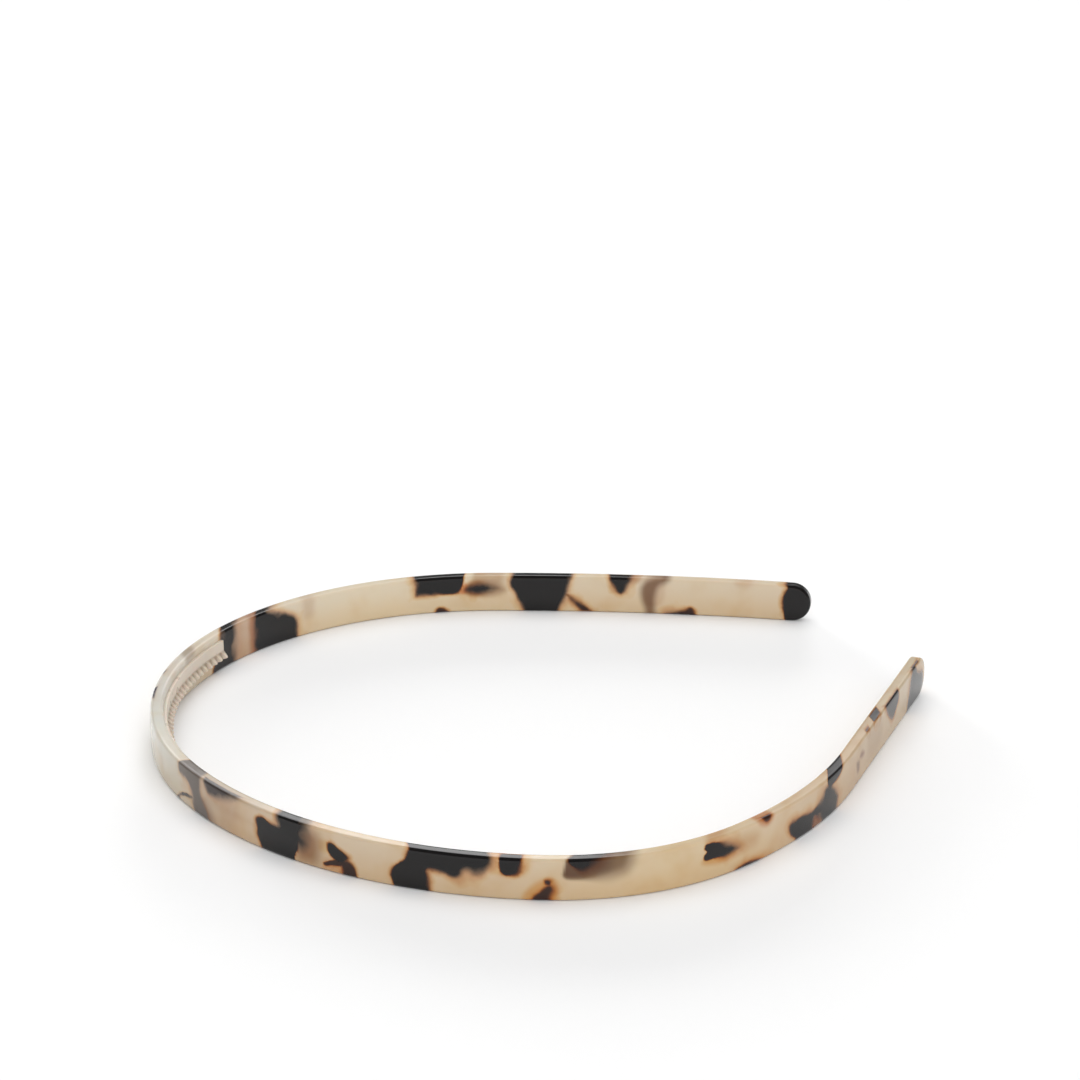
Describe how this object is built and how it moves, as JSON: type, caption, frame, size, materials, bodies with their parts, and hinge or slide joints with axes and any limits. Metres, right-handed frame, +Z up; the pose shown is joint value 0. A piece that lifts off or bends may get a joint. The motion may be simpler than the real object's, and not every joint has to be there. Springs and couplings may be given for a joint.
{
  "type": "headband",
  "caption": "Narrow C-shaped hair band with rounded ends in blonde tortoiseshell acetate, with a fine toothed comb strip bonded inside the crown.",
  "frame": {"origin": "centre of the footprint, on the plane that the lower edge rests on", "axes": "+X from the crown of the bend to the two free ends, +Y across the head towards the evenly curved arm, +Z up, across the width of the band as it stands on its edge"},
  "size_m": [0.135, 0.1254, 0.007],
  "materials": {
    "acetate_tortoise": "blonde tortoiseshell cellulose acetate, translucent cream with black-brown and amber patches, tumble polished to a high gloss",
    "comb_plastic": "pale translucent moulded plastic, semi-gloss"
  },
  "bodies": {
    "root": {"band": "acetate_tortoise", "comb_strip": "comb_plastic"}
  },
  "joints": []
}
